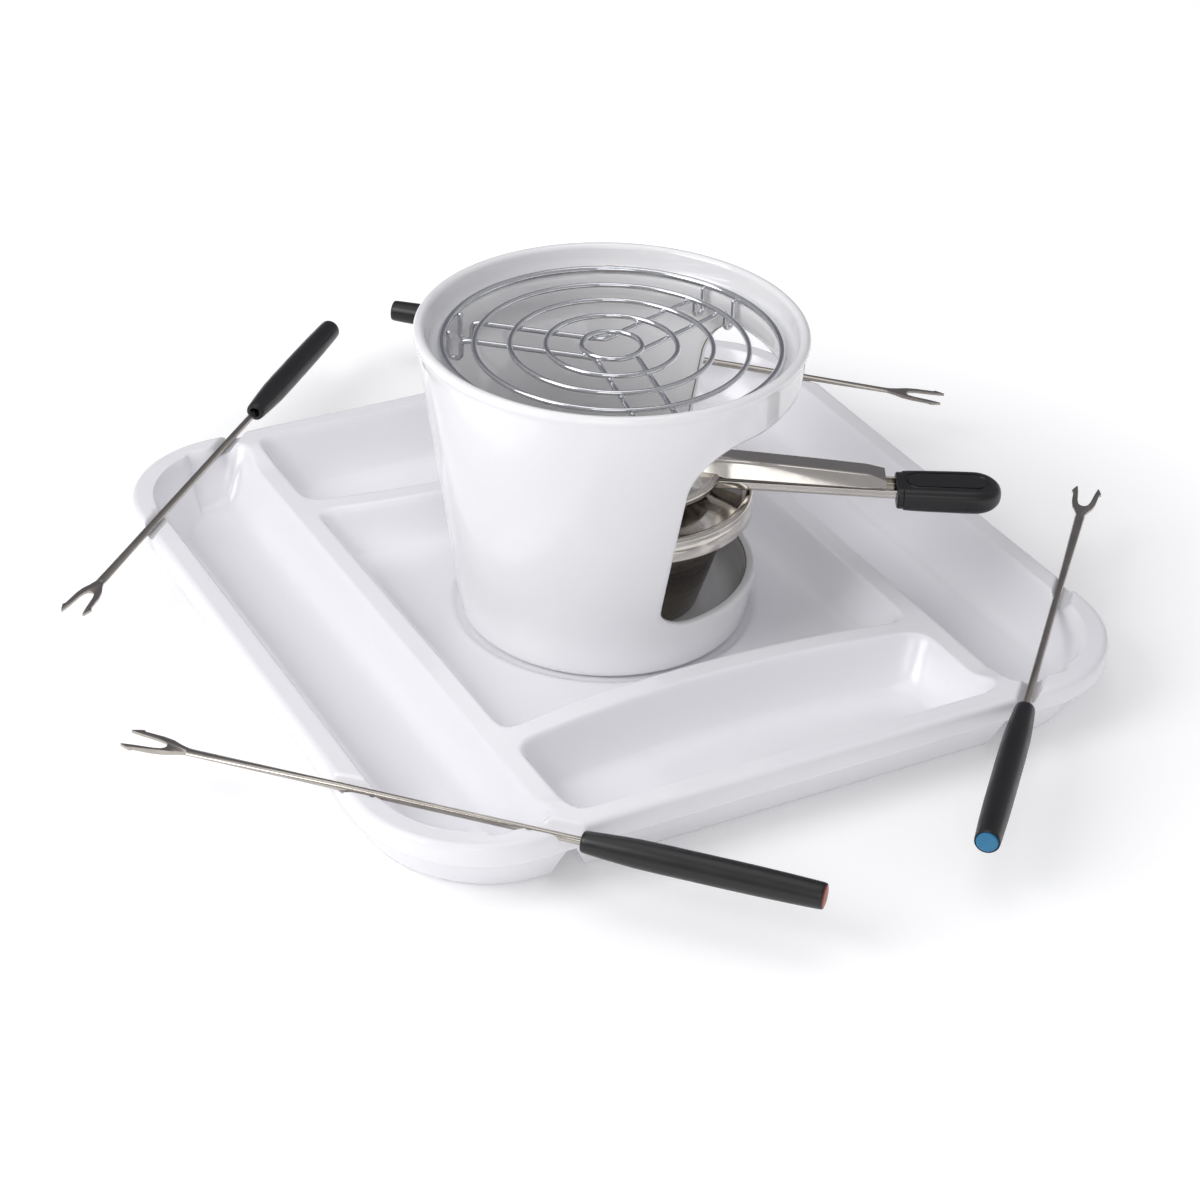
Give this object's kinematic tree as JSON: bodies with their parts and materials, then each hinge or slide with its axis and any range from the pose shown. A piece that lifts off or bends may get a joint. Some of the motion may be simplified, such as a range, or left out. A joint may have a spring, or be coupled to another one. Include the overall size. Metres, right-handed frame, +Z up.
{
  "type": "fondue set",
  "caption": "Fondue serving set: divided square tray, round ceramic burner stand with side window, wire trivet, spirit burner with snuffer, and long forks resting across the corners.",
  "frame": {"origin": "centre of the tray's underside, on the table", "axes": "+Z up, +X and +Y along the tray's sides, +X to the long basin on the side of the burner's handle"},
  "size_m": [0.4124, 0.4472, 0.1216],
  "materials": {
    "melamine": "glossy white moulded melamine",
    "glazed_ceramic": "glossy white glaze",
    "chrome_wire": "bright chrome plated wire",
    "polished_steel": "polished pressed stainless sheet",
    "bowl_steel": "dull pressed stainless sheet",
    "gauze_steel": "fine woven steel gauze",
    "fibre": "soft pale mineral fibre",
    "black_plastic": "satin black heat resistant plastic",
    "fork_steel": "satin stainless wire and stamped sheet",
    "cap_grey": "pale grey plastic",
    "cap_red": "rust red plastic",
    "cap_blue": "mid blue plastic",
    "cap_white": "off white plastic"
  },
  "bodies": {
    "tray": {"tray": "melamine"},
    "stand": {"stand": "glazed_ceramic"},
    "trivet": {"trivet_outer_ring": "chrome_wire", "trivet_ring_1": "chrome_wire", "trivet_ring_2": "chrome_wire", "trivet_ring_3": "chrome_wire", "trivet_ring_4": "chrome_wire", "trivet_spoke_wire_1": "chrome_wire", "trivet_spoke_wire_2": "chrome_wire", "trivet_spoke_wire_3": "chrome_wire"},
    "burner": {"burner_bowl": "bowl_steel", "burner_fibre": "fibre", "burner_gauze": "gauze_steel", "burner_collar": "polished_steel", "burner_handle": "polished_steel", "burner_grip": "black_plastic"},
    "snuffer": {"snuffer_lid": "polished_steel", "snuffer_handle": "polished_steel"},
    "fork_left": {"fork_left_handle": "black_plastic", "fork_left_rod": "fork_steel", "fork_left_head": "fork_steel", "fork_left_cap": "cap_grey"},
    "fork_front": {"fork_front_handle": "black_plastic", "fork_front_rod": "fork_steel", "fork_front_head": "fork_steel", "fork_front_cap": "cap_red"},
    "fork_right": {"fork_right_handle": "black_plastic", "fork_right_rod": "fork_steel", "fork_right_head": "fork_steel", "fork_right_cap": "cap_blue"},
    "fork_back": {"fork_back_handle": "black_plastic", "fork_back_rod": "fork_steel", "fork_back_head": "fork_steel", "fork_back_cap": "cap_white"}
  },
  "joints": [
    {"name": "stand_lift", "type": "slide", "parent": "tray", "child": "stand", "axis": [0, 0, 1], "range_m": [0, 0.05]},
    {"name": "trivet_lift", "type": "slide", "parent": "stand", "child": "trivet", "axis": [0, 0, 1], "range_m": [0, 0.03]},
    {"name": "burner_draw", "type": "slide", "parent": "stand", "child": "burner", "axis": [0.555, -0.3243, 0.766], "range_m": [0, 0.028]},
    {"name": "snuffer_lift", "type": "slide", "parent": "burner", "child": "snuffer", "axis": [0, 0, 1], "range_m": [0, 0.008]},
    {"name": "fork_left_lift", "type": "slide", "parent": "tray", "child": "fork_left", "axis": [0, 0, 1], "range_m": [0, 0.025]},
    {"name": "fork_front_lift", "type": "slide", "parent": "tray", "child": "fork_front", "axis": [0, 0, 1], "range_m": [0, 0.025]},
    {"name": "fork_right_lift", "type": "slide", "parent": "tray", "child": "fork_right", "axis": [0, 0, 1], "range_m": [0, 0.025]},
    {"name": "fork_back_lift", "type": "slide", "parent": "tray", "child": "fork_back", "axis": [0, 0, 1], "range_m": [0, 0.025]}
  ]
}
